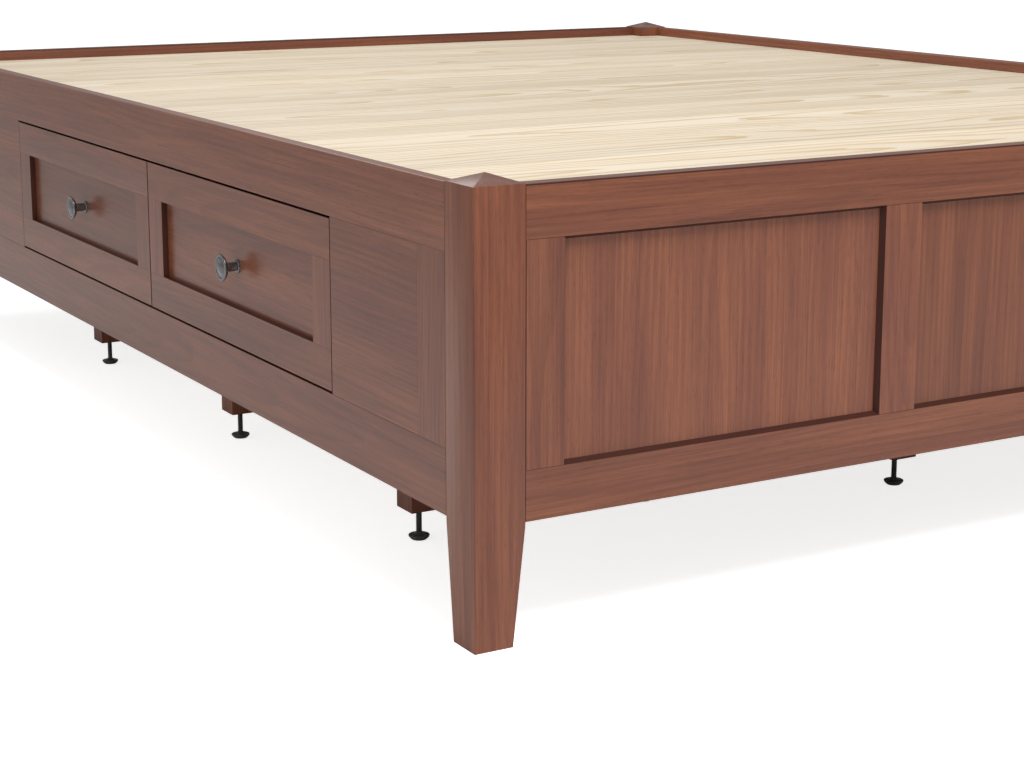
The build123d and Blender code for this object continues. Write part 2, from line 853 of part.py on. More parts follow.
# Corner brackets and screws
def corner_brackets(name):
    """Steel angles that tie the side frames to the posts."""
    with BuildPart() as piece:
        for side, end, level in bracket_corners():
            z_range = level - bracket_height / 2, level + bracket_height / 2
            inside_x = side * (inner_face - bracket_gauge)
            inside_y = end * (post_inner_y - bracket_gauge)
            far_x = side * (inner_face - bracket_leg)
            far_y = end * (post_inner_y - bracket_leg)
            block((side * inner_face, inside_x), (end * post_inner_y, far_y), z_range)
            block((side * inner_face, far_x), (end * post_inner_y, inside_y), z_range)
        hole = screw_radius + screw_hole_gap
        for side, end, level in bracket_corners():
            for z in screw_heights(level):
                for plane in (post_screw_axis(side, end, z), stile_screw_axis(side, end, z)):
                    with BuildSketch(plane):
                        Circle(hole)
                    extrude(amount=bracket_gauge, mode=Mode.SUBTRACT)
    save(piece, name)


def bracket_screws(name):
    """Hex-headed lag screws, two in each leg of every bracket."""
    with BuildPart() as piece:
        for side, end, level in bracket_corners():
            for z in screw_heights(level):
                for plane in (post_screw_axis(side, end, z), stile_screw_axis(side, end, z)):
                    with BuildSketch(plane.offset(-screw_grip)):
                        Circle(screw_radius)
                    extrude(amount=screw_grip + bracket_gauge)
                    with BuildSketch(plane.offset(bracket_gauge)):
                        RegularPolygon(screw_head_radius, 6)
                    extrude(amount=screw_head_height)
    save(piece, name)


# The whole bed
for side_name, side in SIDES.items():
    for end_name, end in ENDS.items():
        post(side, end, f"post_{end_name}_{side_name}")

for end_name, end in ENDS.items():
    (low_bottom, low_top), (high_bottom, high_top) = end_rail_heights()
    bottom_rail = end_rail(end, low_bottom, low_top, low_top, f"{end_name}_bottom_rail")
    top_rail = end_rail(end, high_bottom, high_top, high_bottom, f"{end_name}_top_rail")
    end_stiles(end, (bottom_rail, top_rail), f"{end_name}_stiles")
    end_panel_set(end, f"{end_name}_panels")

for side_name, side in SIDES.items():
    side_rail(side, opening_top, rail_top, f"{side_name}_top_rail")
    side_rail(side, frame_underside, opening_bottom, f"{side_name}_bottom_rail")

side_stiles("side_stiles")
side_fillers("side_filler_panels")
deck_boards("deck_boards")
deck_bearers("deck_bearers")
drawer_cases("drawer_cases")
support_legs("support_legs")
leveler_nuts("leveler_nuts")
for place, (x, y, _) in leg_places().items():
    leveler(x, y, f"leveler_{place}")

slide_channels("slide_channels")
_, middle_member, inner_member = slide_members()
for side_name, side in SIDES.items():
    for index, end_name in enumerate(ENDS):
        place = f"{side_name}_{end_name}"
        drawer_front(side, index, f"drawer_front_{place}")
        drawer_box(side, index, f"drawer_box_{place}")
        drawer_knob(side, index, f"knob_{place}")
        slide_member(side, index, middle_member, f"slide_middle_{place}")
        slide_member(side, index, inner_member, f"slide_inner_{place}")

corner_brackets("corner_brackets")
bracket_screws("bracket_screws")
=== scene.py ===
"""Looks of the platform storage bed: eased boards with grain, metal hardware and a pale studio."""

import json
import math
import random

import bmesh
import bpy
from bpy.props import FloatProperty, FloatVectorProperty, PointerProperty
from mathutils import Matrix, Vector


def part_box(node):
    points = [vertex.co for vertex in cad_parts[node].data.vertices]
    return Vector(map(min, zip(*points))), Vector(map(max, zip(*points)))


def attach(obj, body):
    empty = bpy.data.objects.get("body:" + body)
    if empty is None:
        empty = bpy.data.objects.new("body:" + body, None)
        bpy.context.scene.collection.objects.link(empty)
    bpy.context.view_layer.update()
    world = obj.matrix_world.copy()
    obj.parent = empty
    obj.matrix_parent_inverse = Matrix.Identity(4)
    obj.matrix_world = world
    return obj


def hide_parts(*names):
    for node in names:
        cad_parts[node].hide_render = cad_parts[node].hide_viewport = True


bl_info = {
    "name": "Platform Storage Bed",
    "version": (1, 0, 0),
    "blender": (4, 5, 0),
    "location": "3D View > Sidebar > Bed",
    "description": "Finishes the boards and hardware of a platform storage bed and sets up its studio",
    "category": "Object",
}

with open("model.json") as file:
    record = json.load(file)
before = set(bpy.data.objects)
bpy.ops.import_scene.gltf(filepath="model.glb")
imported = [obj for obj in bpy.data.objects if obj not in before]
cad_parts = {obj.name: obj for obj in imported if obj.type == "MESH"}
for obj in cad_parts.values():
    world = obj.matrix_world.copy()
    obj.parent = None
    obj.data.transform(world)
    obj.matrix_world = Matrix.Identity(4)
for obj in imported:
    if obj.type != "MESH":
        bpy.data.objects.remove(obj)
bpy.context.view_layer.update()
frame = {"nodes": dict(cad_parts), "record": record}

NODES = frame["nodes"]
BODIES = frame["record"]["behaviour"]["bodies"]
BODY_OF = {node: body for body, members in BODIES.items() for node in members}
SLOT_OF = {entry["node"]: entry["material_slot"] for entry in frame["record"]["subparts"]}

SIDES = ("left", "right")
ENDS = ("foot", "head")
DRAWERS = [f"{side}_{end}" for side in SIDES for end in ENDS]
POSTS = [f"post_{end}_{side}" for end in ENDS for side in SIDES]
END_RAILS = [f"{end}_{level}_rail" for end in ENDS for level in ("top", "bottom")]
SIDE_RAILS = [f"{side}_{level}_rail" for side in SIDES for level in ("top", "bottom")]
GRAIN_AXES = {"X": 0.0, "Y": 1.0, "Z": 2.0}

CAMERA_PLACE = (-1.8510, -2.9110, 0.8042)
CAMERA_TURN = 30.162
CAMERA_PITCH = 11.724
CAMERA_SHIFT = -0.06
LIGHT_AIM = (0.0, 0.0, 0.3)
FLOOR_SIZE = 120.0

MERGE_DISTANCE = 0.000004
SAME_PLACE = 0.0000001
ONE_PLANE_ANGLE = math.radians(0.5)
EASED_EDGE_ANGLE = math.radians(35)
BOARD_SMOOTH_ANGLE = math.radians(15)
FOOT_SMOOTH_ANGLE = math.radians(38)

PAD_SIDES = 40
STEM_RADIUS = 0.00385
STEM_START = 0.0080
THREAD_STEPS = 16

LATE_STAINED_WOOD = (0.085, 0.028, 0.020)
STAINED_PORE = (0.04, 0.014, 0.010)
STAINED_KNOT = (0.03, 0.012, 0.008)
STAINED_END = (0.06, 0.02, 0.013)
# Darker eased edges: partly stain soaked into the sanded edges, partly painted shade in the grooves between
# boards.
EDGE_STAIN_AND_SHADE = (0.07, 0.024, 0.018)
# Painted shade: the dark colour laid over recess walls, ledges and rail tops to stand in for shade.
PAINTED_RECESS_SHADE = (0.040, 0.013, 0.010)
PALE_KNOT = (0.18, 0.08, 0.035)
PALE_END = (0.42, 0.27, 0.14)
CLOUDED_ZINC = (0.50, 0.49, 0.47)
RUBBED_PEWTER = (0.34, 0.33, 0.33)
DUST = (0.20, 0.19, 0.18)
FLOOR_DARK = (0.79, 0.79, 0.79)
FLOOR_LIGHT = (0.82, 0.82, 0.82)
WHITE = (1.0, 1.0, 1.0, 1.0)


# Sizes and colours that a user would change

class BedDetails(bpy.types.PropertyGroup):
    frame_ease: FloatProperty(
        name="Frame edge easing",
        description="Width of the sanded edge on the stained boards",
        default=0.0005,
        unit="LENGTH",
    )
    deck_ease: FloatProperty(
        name="Deck edge easing",
        description="Width of the sanded edge on the deck boards",
        default=0.0008,
        unit="LENGTH",
    )
    inner_ease: FloatProperty(
        name="Inner edge easing",
        description="Width of the sanded edge on the drawer boxes, cases and bearers",
        default=0.0004,
        unit="LENGTH",
    )
    thread_pitch: FloatProperty(
        name="Thread pitch",
        description="Distance between the thread's turns on a levelling foot",
        default=0.00125,
        unit="LENGTH",
    )


class BedFinishes(bpy.types.PropertyGroup):
    stain_light: FloatVectorProperty(
        name="Stain, light streaks",
        description="Stained wood where the stain is thin",
        default=(0.266, 0.092, 0.045),
        size=3,
        subtype="COLOR",
    )
    stain_dark: FloatVectorProperty(
        name="Stain, dark streaks",
        description="Stained wood where the stain is deep",
        default=(0.165, 0.054, 0.033),
        size=3,
        subtype="COLOR",
    )
    deck_light: FloatVectorProperty(
        name="Deck, light wood",
        description="Early wood of the deck boards",
        default=(0.74, 0.65, 0.52),
        size=3,
        subtype="COLOR",
    )
    deck_dark: FloatVectorProperty(
        name="Deck, dark wood",
        description="Late wood of the deck boards",
        default=(0.56, 0.40, 0.215),
        size=3,
        subtype="COLOR",
    )
    inner_light: FloatVectorProperty(
        name="Inner wood, light",
        description="Light figure of the drawer boxes and cases",
        default=(0.66, 0.53, 0.37),
        size=3,
        subtype="COLOR",
    )
    inner_dark: FloatVectorProperty(
        name="Inner wood, dark",
        description="Dark figure of the drawer boxes and cases",
        default=(0.50, 0.36, 0.22),
        size=3,
        subtype="COLOR",
    )
    pewter: FloatVectorProperty(
        name="Pewter",
        description="Plating of the knobs",
        default=(0.17, 0.165, 0.17),
        size=3,
        subtype="COLOR",
    )
    zinc: FloatVectorProperty(
        name="Zinc",
        description="Plating of the slides, nuts, brackets and screws",
        default=(0.62, 0.63, 0.66),
        size=3,
        subtype="COLOR",
    )
    nylon: FloatVectorProperty(
        name="Nylon",
        description="Moulded pads of the levelling feet",
        default=(0.09, 0.09, 0.096),
        size=3,
        subtype="COLOR",
    )


class BedStudio(bpy.types.PropertyGroup):
    floor_glow: FloatProperty(
        name="Floor glow",
        description="How much paler the floor looks in the picture, so that its shadows stay soft",
        default=0.79,
        min=0.0,
    )
    sky_strength: FloatProperty(
        name="Sky strength",
        description="Strength of the pale surroundings as a light",
        default=0.44,
        min=0.0,
    )
    key_power: FloatProperty(
        name="Key light",
        description="Power of the large soft light above the foot of the bed",
        default=176.0,
        min=0.0,
        unit="POWER",
    )
    fill_power: FloatProperty(
        name="Fill light",
        description="Power of the weak light beside the bed",
        default=8.0,
        min=0.0,
        unit="POWER",
    )
    back_power: FloatProperty(
        name="Back light",
        description="Power of the weak light above the head end, which shows in the caps",
        default=6.0,
        min=0.0,
        unit="POWER",
    )
    lens: FloatProperty(
        name="Lens",
        description="Focal length of the camera",
        default=72.7,
        unit="CAMERA",
    )


# Shader building

def shader_node(tree, kind, inputs=None, **settings):
    """Add a node, with its settings and with each input as a value or a linked socket."""
    node = tree.nodes.new(kind)
    for name, value in settings.items():
        setattr(node, name, value)
    for key, value in (inputs or {}).items():
        if isinstance(value, bpy.types.NodeSocket):
            tree.links.new(value, node.inputs[key])
        else:
            node.inputs[key].default_value = value
    return node


def math_node(tree, operation, first, second=0.0, third=0.0):
    inputs = {0: first, 1: second, 2: third}
    return shader_node(tree, "ShaderNodeMath", inputs, operation=operation).outputs[0]


def vector_math(tree, operation, first, second=(0.0, 0.0, 0.0)):
    inputs = {0: first, 1: second}
    return shader_node(tree, "ShaderNodeVectorMath", inputs, operation=operation).outputs[0]


def vector_mix(tree, factor, first, second):
    node = shader_node(tree, "ShaderNodeMix", {0: factor, 4: first, 5: second}, data_type="VECTOR")
    return node.outputs[1]


def colour_mix(tree, factor, first, second, blend="MIX"):
    inputs = {0: factor, 6: first, 7: second}
    return shader_node(tree, "ShaderNodeMix", inputs, data_type="RGBA", blend_type=blend).outputs[2]


def opaque(colour):
    return (*colour, 1.0)


def tint(tree, base, mask, share, colour):
    """Lay a colour over the base where a mask is high, up to a share of it."""
    return colour_mix(tree, math_node(tree, "MULTIPLY", mask, share), base, opaque(colour))


def shaded(tree, base, brightness):
    """Multiply the base by a brightness that changes over the surface."""
    parts = {0: brightness, 1: brightness, 2: brightness}
    grey = shader_node(tree, "ShaderNodeCombineColor", parts).outputs[0]
    return colour_mix(tree, 1.0, base, grey, blend="MULTIPLY")


def smooth_step(tree, value, low, high):
    """A mask that rises smoothly from 0 at low to 1 at high."""
    inputs = {0: value, 1: low, 2: high}
    return shader_node(tree, "ShaderNodeMapRange", inputs, interpolation_type="SMOOTHSTEP").outputs[0]


def stretched_noise(tree, vector, scale, detail=2.0, roughness=0.5):
    stretched = vector_math(tree, "MULTIPLY", vector, scale)
    inputs = {"Vector": stretched, "Scale": 1.0, "Detail": detail, "Roughness": roughness}
    return shader_node(tree, "ShaderNodeTexNoise", inputs)


def attribute(tree, name, output="Fac"):
    return shader_node(tree, "ShaderNodeAttribute", attribute_name=name).outputs[output]


def part_of(tree, vector, index):
    return shader_node(tree, "ShaderNodeSeparateXYZ", {0: vector}).outputs[index]


def board_number(tree, tone, stride, span, low):
    """A number of a board's own between low and low plus span, drawn from its tone."""
    drawn = math_node(tree, "FRACT", math_node(tree, "MULTIPLY", tone, stride))
    return math_node(tree, "MULTIPLY_ADD", drawn, span, low)


def new_group(name, inputs, outputs):
    """A shader node group with named sockets, its input node and its output node."""
    group = bpy.data.node_groups.new(name, "ShaderNodeTree")
    for label, default in inputs.items():
        socket = group.interface.new_socket(name=label, in_out="INPUT", socket_type="NodeSocketFloat")
        socket.default_value = default
    for label in outputs:
        group.interface.new_socket(name=label, in_out="OUTPUT", socket_type="NodeSocketFloat")
    source = group.nodes.new("NodeGroupInput")
    result = group.nodes.new("NodeGroupOutput")
    return group, source, result


def along_grain(tree, vector):
    """Turn a vector so that its last part runs along the board's grain."""
    axis = attribute(tree, "grain_axis")
    parts = shader_node(tree, "ShaderNodeSeparateXYZ", {0: vector}).outputs
    along_x = shader_node(tree, "ShaderNodeCombineXYZ", {0: parts[1], 1: parts[2], 2: parts[0]}).outputs[0]
    along_y = shader_node(tree, "ShaderNodeCombineXYZ", {0: parts[2], 1: parts[0], 2: parts[1]}).outputs[0]
    turned = vector_mix(tree, math_node(tree, "GREATER_THAN", axis, 0.5), along_x, along_y)
    return vector_mix(tree, math_node(tree, "GREATER_THAN", axis, 1.5), turned, vector)


def board_figure_group():
    """Growth rings, streaks, fibres, pores, knots, end grain and eased edges of one board."""
    inputs = {"Ring Gap": 0.005, "Wander": 0.03, "Knot Size": 0.0}
    outputs = (
        "Rings", "Streaks", "Fibres", "Pores", "Knots", "End Grain", "Eased Edge", "Board Tone", "Across",
    )
    group, source, result = new_group("board_figure", inputs, outputs)
    coordinates = shader_node(group, "ShaderNodeTexCoord")
    tone = attribute(group, "board_tone")
    origin = attribute(group, "board_origin", "Vector")
    local = vector_math(group, "SUBTRACT", coordinates.outputs["Object"], origin)
    place = along_grain(group, local)
    shift = vector_math(group, "SCALE", (17.3, 9.1, 31.7))
    group.links.new(tone, shift.node.inputs["Scale"])
    shifted = vector_math(group, "ADD", place, shift)

    wander = stretched_noise(group, shifted, (7.0, 7.0, 1.3), detail=1.0).outputs["Color"]
    centred = vector_math(group, "SUBTRACT", wander, (0.5, 0.5, 0.5))
    drift = vector_math(group, "SCALE", centred)
    group.links.new(source.outputs["Wander"], drift.node.inputs["Scale"])
    drifted = vector_math(group, "ADD", place, drift)
    across = vector_math(group, "MULTIPLY", drifted, (1.0, 1.0, 0.0))
    side_shift = board_number(group, tone, 7.13, 0.05, -0.025)
    depth_shift = board_number(group, tone, 3.71, 0.04, 0.018)
    lean = board_number(group, tone, 5.37, 0.09, -0.045)
    leaning = math_node(group, "MULTIPLY_ADD", part_of(group, place, 2), lean, depth_shift)
    heart = shader_node(group, "ShaderNodeCombineXYZ", {0: side_shift, 1: leaning}).outputs[0]
    from_heart = vector_math(group, "ADD", across, heart)
    radius = shader_node(group, "ShaderNodeVectorMath", {0: from_heart}, operation="LENGTH").outputs["Value"]
    ripple = stretched_noise(group, shifted, (60.0, 60.0, 5.0), detail=2.0).outputs["Fac"]
    even_turns = math_node(group, "DIVIDE", radius, source.outputs["Ring Gap"])
    rings = math_node(group, "FRACT", math_node(group, "MULTIPLY_ADD", ripple, 0.7, even_turns))

    streaks = stretched_noise(group, shifted, (24.0, 24.0, 1.5), detail=5.0, roughness=0.66).outputs["Fac"]
    fibres = stretched_noise(group, shifted, (460.0, 460.0, 6.0), detail=3.0).outputs["Fac"]
    pores = stretched_noise(group, shifted, (1500.0, 1500.0, 60.0), detail=1.0).outputs["Fac"]
    cells = vector_math(group, "MULTIPLY", shifted, (6.0, 6.0, 2.4))
    spots = shader_node(group, "ShaderNodeTexVoronoi", {"Vector": cells, "Scale": 1.0}).outputs["Distance"]
    knots = math_node(group, "LESS_THAN", spots, source.outputs["Knot Size"])

    facing = coordinates.outputs["Normal"]
    grainward = part_of(group, along_grain(group, facing), 2)
    end_grain = smooth_step(group, math_node(group, "ABSOLUTE", grainward), 0.75, 0.95)
    flat = shader_node(group, "ShaderNodeSeparateXYZ", {0: vector_math(group, "ABSOLUTE", facing)}).outputs
    flattest = math_node(group, "MAXIMUM", math_node(group, "MAXIMUM", flat[0], flat[1]), flat[2])
    eased = smooth_step(group, math_node(group, "SUBTRACT", 1.0, flattest), 0.13, 0.26)

    open_pores = smooth_step(group, pores, 0.6, 0.72)
    sideways = part_of(group, place, 0)
    values = (rings, streaks, fibres, open_pores, knots, end_grain, eased, tone, sideways)
    for label, value in zip(outputs, values):
        group.links.new(value, result.inputs[label])
    return group


def new_material(name):
    material = bpy.data.materials.new(name)
    material.use_nodes = True
    tree = material.node_tree
    return material, tree, tree.nodes["Principled BSDF"]


def use_group(tree, group, **values):
    node = shader_node(tree, "ShaderNodeGroup", node_tree=group)
    for label, value in values.items():
        node.inputs[label.replace("_", " ").title()].default_value = value
    return node.outputs


def bump(tree, height, distance, strength=1.0):
    inputs = {"Height": height, "Distance": distance, "Strength": strength}
    return shader_node(tree, "ShaderNodeBump", inputs).outputs["Normal"]


def dress(tree, shader, base, rough, normal):
    """Link a colour, a roughness and a normal to a material's shader."""
    tree.links.new(base, shader.inputs["Base Color"])
    tree.links.new(rough, shader.inputs["Roughness"])
    tree.links.new(normal, shader.inputs["Normal"])


def stained_wood(group, finishes):
    """Close-grained hardwood, red-brown stain and a satin clear coat."""
    material, tree, shader = new_material("stained_wood")
    figure = use_group(tree, group, ring_gap=0.0085, wander=0.06, knot_size=0.012)
    spread = smooth_step(tree, figure["Streaks"], 0.27, 0.73)
    base = colour_mix(tree, spread, opaque(finishes.stain_dark), opaque(finishes.stain_light))
    late = smooth_step(tree, figure["Rings"], 0.3, 0.97)
    base = tint(tree, base, late, 0.2, LATE_STAINED_WOOD)
    base = shaded(tree, base, math_node(tree, "MULTIPLY_ADD", figure["Fibres"], 0.8, 0.6))
    base = shaded(tree, base, math_node(tree, "MULTIPLY_ADD", figure["Board Tone"], 0.2, 0.9))
    base = tint(tree, base, figure["Pores"], 0.35, STAINED_PORE)
    base = tint(tree, base, figure["Knots"], 0.6, STAINED_KNOT)
    base = tint(tree, base, figure["End Grain"], 0.45, STAINED_END)
    # Eased edges are darkened: partly stain soaked into the sanded edges, partly painted shade in the
    # grooves between boards.
    base = tint(tree, base, figure["Eased Edge"], 0.4, EDGE_STAIN_AND_SHADE)
    # Painted shade: recess walls, ledges and rail tops are darkened and given less coat, standing in for the
    # shade that falls there and for a weaker reflection.
    shade_mask = attribute(tree, "painted_shade")
    base = tint(tree, base, shade_mask, 0.92, PAINTED_RECESS_SHADE)
    rough = math_node(tree, "MULTIPLY_ADD", figure["Fibres"], 0.2, 0.4)
    relief = math_node(tree, "SUBTRACT", figure["Fibres"], figure["Pores"])
    dress(tree, shader, base, rough, bump(tree, relief, 0.00006, 0.5))
    shader.inputs["Specular IOR Level"].default_value = 0.06
    tree.links.new(math_node(tree, "MULTIPLY_ADD", shade_mask, -0.6, 0.78), shader.inputs["Coat Weight"])
    shader.inputs["Coat Roughness"].default_value = 0.24
    shader.inputs["Coat IOR"].default_value = 1.46
    return material


def pale_wood(name, group, light, dark, ring_gap, knot_size, contrast):
    """Unstained boards with soft rings and a few small knots."""
    material, tree, shader = new_material(name)
    figure = use_group(tree, group, ring_gap=ring_gap, wander=0.085, knot_size=knot_size)
    late = math_node(tree, "MULTIPLY", smooth_step(tree, figure["Rings"], 0.5, 0.97), contrast)
    base = colour_mix(tree, late, opaque(light), opaque(dark))
    base = tint(tree, base, smooth_step(tree, figure["Streaks"], 0.4, 0.72), 0.3, dark)
    # Painted shade and highlight: each board is lighter towards one long edge and darker towards the other,
    # standing in for the light on a cupped board.
    painted_cupping_shade = math_node(tree, "MULTIPLY_ADD", figure["Across"], 1.2, 0.9)
    base = shaded(tree, base, math_node(tree, "MULTIPLY_ADD", figure["Board Tone"], 0.12, painted_cupping_shade))
    base = tint(tree, base, figure["Knots"], 0.8, PALE_KNOT)
    base = tint(tree, base, figure["End Grain"], 0.35, PALE_END)
    rough = math_node(tree, "MULTIPLY_ADD", figure["Fibres"], 0.2, 0.48)
    relief = math_node(tree, "MULTIPLY_ADD", figure["Rings"], 0.3, figure["Fibres"])
    dress(tree, shader, base, rough, bump(tree, relief, 0.00008, 0.5))
    shader.inputs["Specular IOR Level"].default_value = 0.35
    return material


def zinc_steel(finishes):
    """Rolled steel with bright zinc plating and fine rolling lines along the slides."""
    material, tree, shader = new_material("zinc_steel")
    place = shader_node(tree, "ShaderNodeTexCoord").outputs["Object"]
    lines = stretched_noise(tree, place, (30.0, 2600.0, 2600.0), detail=2.0).outputs["Fac"]
    cloud = stretched_noise(tree, place, (45.0, 45.0, 45.0), detail=4.0).outputs["Fac"]
    base = colour_mix(tree, cloud, opaque(finishes.zinc), opaque(CLOUDED_ZINC))
    rough = math_node(tree, "MULTIPLY_ADD", lines, 0.22, 0.2)
    dress(tree, shader, base, rough, bump(tree, lines, 0.00003, 0.4))
    shader.inputs["Metallic"].default_value = 1.0
    return material


def dark_pewter(finishes):
    """Cast knob with dark plating, rubbed a little lighter where hands touch it."""
    material, tree, shader = new_material("dark_pewter")
    place = shader_node(tree, "ShaderNodeTexCoord").outputs["Object"]
    cloud = stretched_noise(tree, place, (160.0, 160.0, 160.0), detail=5.0, roughness=0.6).outputs["Fac"]
    grit = stretched_noise(tree, place, (2400.0, 2400.0, 2400.0), detail=2.0).outputs["Fac"]
    rubbed = smooth_step(tree, cloud, 0.42, 0.7)
    base = colour_mix(tree, rubbed, opaque(finishes.pewter), opaque(RUBBED_PEWTER))
    rough = math_node(tree, "MULTIPLY_ADD", cloud, 0.24, 0.1)
    dress(tree, shader, base, rough, bump(tree, grit, 0.00003, 0.5))
    shader.inputs["Metallic"].default_value = 0.85
    return material


def black_nylon(finishes):
    """Moulded pad and blackened stem, with a fine moulded grain and some dust."""
    material, tree, shader = new_material("black_nylon")
    place = shader_node(tree, "ShaderNodeTexCoord").outputs["Object"]
    grit = stretched_noise(tree, place, (1800.0, 1800.0, 1800.0), detail=3.0).outputs["Fac"]
    dust = stretched_noise(tree, place, (90.0, 90.0, 90.0), detail=5.0).outputs["Fac"]
    base = tint(tree, opaque(finishes.nylon), smooth_step(tree, dust, 0.5, 0.8), 0.12, DUST)
    rough = math_node(tree, "MULTIPLY_ADD", grit, 0.2, 0.2)
    dress(tree, shader, base, rough, bump(tree, grit, 0.00004, 0.4))
    return material


def studio_floor(studio):
    """White floor that looks paler in the picture than the light it sends back, so shadows stay soft."""
    material, tree, shader = new_material("studio_floor")
    place = shader_node(tree, "ShaderNodeTexCoord").outputs["Object"]
    mottle = stretched_noise(tree, place, (1.5, 1.5, 1.5), detail=3.0).outputs["Fac"]
    base = colour_mix(tree, mottle, opaque(FLOOR_DARK), opaque(FLOOR_LIGHT))
    seen = shader_node(tree, "ShaderNodeLightPath").outputs["Is Camera Ray"]
    glow = math_node(tree, "MULTIPLY", seen, studio.floor_glow)
    tree.links.new(glow, shader.inputs["Emission Strength"])
    tree.links.new(base, shader.inputs["Base Color"])
    shader.inputs["Roughness"].default_value = 0.85
    shader.inputs["Specular IOR Level"].default_value = 0.1
    shader.inputs["Emission Color"].default_value = WHITE
    return material


def finish_named(name):
    """A finish by its name, made the first time that it is asked for."""
    if name in bpy.data.materials and bpy.data.materials[name].get("finished"):
        return bpy.data.materials[name]
    scene = bpy.context.scene
    finishes = scene.bed_finishes
    group = bpy.data.node_groups.get("board_figure") or board_figure_group()
    makers = {
        "stained_wood": lambda: stained_wood(group, finishes),
        "deck_wood": lambda: pale_wood(
            "deck_wood", group, finishes.deck_light, finishes.deck_dark, 0.0115, 0.013, 0.85
        ),
        "plain_wood": lambda: pale_wood(
            "plain_wood", group, finishes.inner_light, finishes.inner_dark, 0.007, 0.0, 0.3
        ),
        "zinc_steel": lambda: zinc_steel(finishes),
        "dark_pewter": lambda: dark_pewter(finishes),
        "black_nylon": lambda: black_nylon(finishes),
        "studio_floor": lambda: studio_floor(scene.bed_studio),
    }
    if name in bpy.data.materials:
        bpy.data.materials[name].name = name + "_plain"
    material = makers[name]()
    material["finished"] = True
    return material


# Modelling helpers

def select_only(piece):
    bpy.ops.object.select_all(action="DESELECT")
    piece.select_set(True)
    bpy.context.view_layer.objects.active = piece


def apply_modifier(piece, kind, **settings):
    """Add a modifier with its settings and apply it."""
    modifier = piece.modifiers.new(kind.lower(), kind)
    for name, value in settings.items():
        setattr(modifier, name, value)
    select_only(piece)
    bpy.ops.object.modifier_apply(modifier=modifier.name)


def merged_copy(node, name):
    """A copy of a CAD node with its loose triangles merged into whole faces."""
    mesh = NODES[node].data.copy()
    mesh.materials.clear()
    piece = bpy.data.objects.new(name, mesh)
    bpy.context.scene.collection.objects.link(piece)
    select_only(piece)
    if mesh.has_custom_normals:
        bpy.ops.mesh.customdata_custom_splitnormals_clear()
    bpy.ops.object.mode_set(mode="EDIT")
    bpy.ops.mesh.select_all(action="SELECT")
    bpy.ops.mesh.remove_doubles(threshold=MERGE_DISTANCE)
    bpy.ops.mesh.dissolve_limited(angle_limit=ONE_PLANE_ANGLE)
    bpy.ops.object.mode_set(mode="OBJECT")
    return piece


def islands(mesh):
    """Lists of face indices, one list for each separate board in a mesh."""
    shape = bmesh.new()
    shape.from_mesh(mesh)
    shape.faces.ensure_lookup_table()
    seen = set()
    found = []
    for start in shape.faces:
        if start.index in seen:
            continue
        seen.add(start.index)
        island = []
        waiting = [start]
        while waiting:
            face = waiting.pop()
            island.append(face.index)
            for vertex in face.verts:
                for neighbour in vertex.link_faces:
                    if neighbour.index not in seen:
                        seen.add(neighbour.index)
                        waiting.append(neighbour)
        found.append(island)
    shape.free()
    return found


def face_corners(mesh, faces):
    """Lowest and highest corner of some faces of a mesh."""
    points = [mesh.vertices[v].co for face in faces for v in mesh.polygons[face].vertices]
    low = Vector(min(p[axis] for p in points) for axis in range(3))
    high = Vector(max(p[axis] for p in points) for axis in range(3))
    return low, high


def mark_boards(piece, grain=None):
    """Give each board of a piece its centre, its own tone and the axis of its grain."""
    mesh = piece.data
    for name, kind in (("board_origin", "FLOAT_VECTOR"), ("board_tone", "FLOAT"), ("grain_axis", "FLOAT")):
        mesh.attributes.new(name, kind, "FACE")
    origin, tone, axis = (mesh.attributes[name] for name in ("board_origin", "board_tone", "grain_axis"))
    for board in islands(mesh):
        low, high = face_corners(mesh, board)
        size = high - low
        centre = (low + high) / 2
        direction = GRAIN_AXES[grain] if grain else float(max(range(3), key=lambda i: size[i]))
        seed = random.Random(f"{centre.x:.3f} {centre.y:.3f} {centre.z:.3f}")
        shade = seed.random()
        for face in board:
            origin.data[face].vector = centre
            tone.data[face].value = shade
            axis.data[face].value = direction


def mark_painted_shade(piece, front=None):
    """Mark faces for painted shade, darkened to stand in for shade: the walls round a recess, which front
    gives the axis of, and rail tops.
    """
    shade_mask = piece.data.attributes.new("painted_shade", "FLOAT", "FACE")
    for face in piece.data.polygons:
        if front == "Y" and 0.05 < abs(face.normal.y) < 0.95:
            depth = 1.0
        elif front == "X" and abs(face.normal.x) < 0.5:
            depth = 0.8
        elif front in ("Y", "Z") and face.normal.z > 0.95:
            depth = 0.5
        else:
            depth = 0.0
        shade_mask.data[face.index].value = depth


def settle(piece, node):
    """Let a piece stand for a CAD node: put it on the node's body and hide the node."""
    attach(piece, BODY_OF[node])
    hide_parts(node)


def finish_boards(node, ease, grain=None, front=None):
    """Replace a CAD node's boards by the same boards with sanded edges, grain and painted shade in recesses
    and on rail tops.
    """
    piece = merged_copy(node, f"{node}_boards")
    apply_modifier(
        piece,
        "BEVEL",
        width=ease,
        segments=2,
        limit_method="ANGLE",
        angle_limit=EASED_EDGE_ANGLE,
        use_clamp_overlap=True,
    )
    select_only(piece)
    bpy.ops.object.mode_set(mode="EDIT")
    bpy.ops.mesh.select_all(action="SELECT")
    bpy.ops.mesh.dissolve_degenerate(threshold=SAME_PLACE)
    bpy.ops.object.mode_set(mode="OBJECT")
    bpy.ops.object.shade_smooth_by_angle(angle=BOARD_SMOOTH_ANGLE)
    mark_boards(piece, grain)
    mark_painted_shade(piece, front)
    piece.data.materials.append(finish_named(SLOT_OF[node]))
    settle(piece, node)
    return piece


def finish_metal(node):
    """Give a CAD node whose shape is right the finish of its slot."""
    part = NODES[node]
    material = finish_named(SLOT_OF[node])
    for slot in part.material_slots:
        slot.material = material


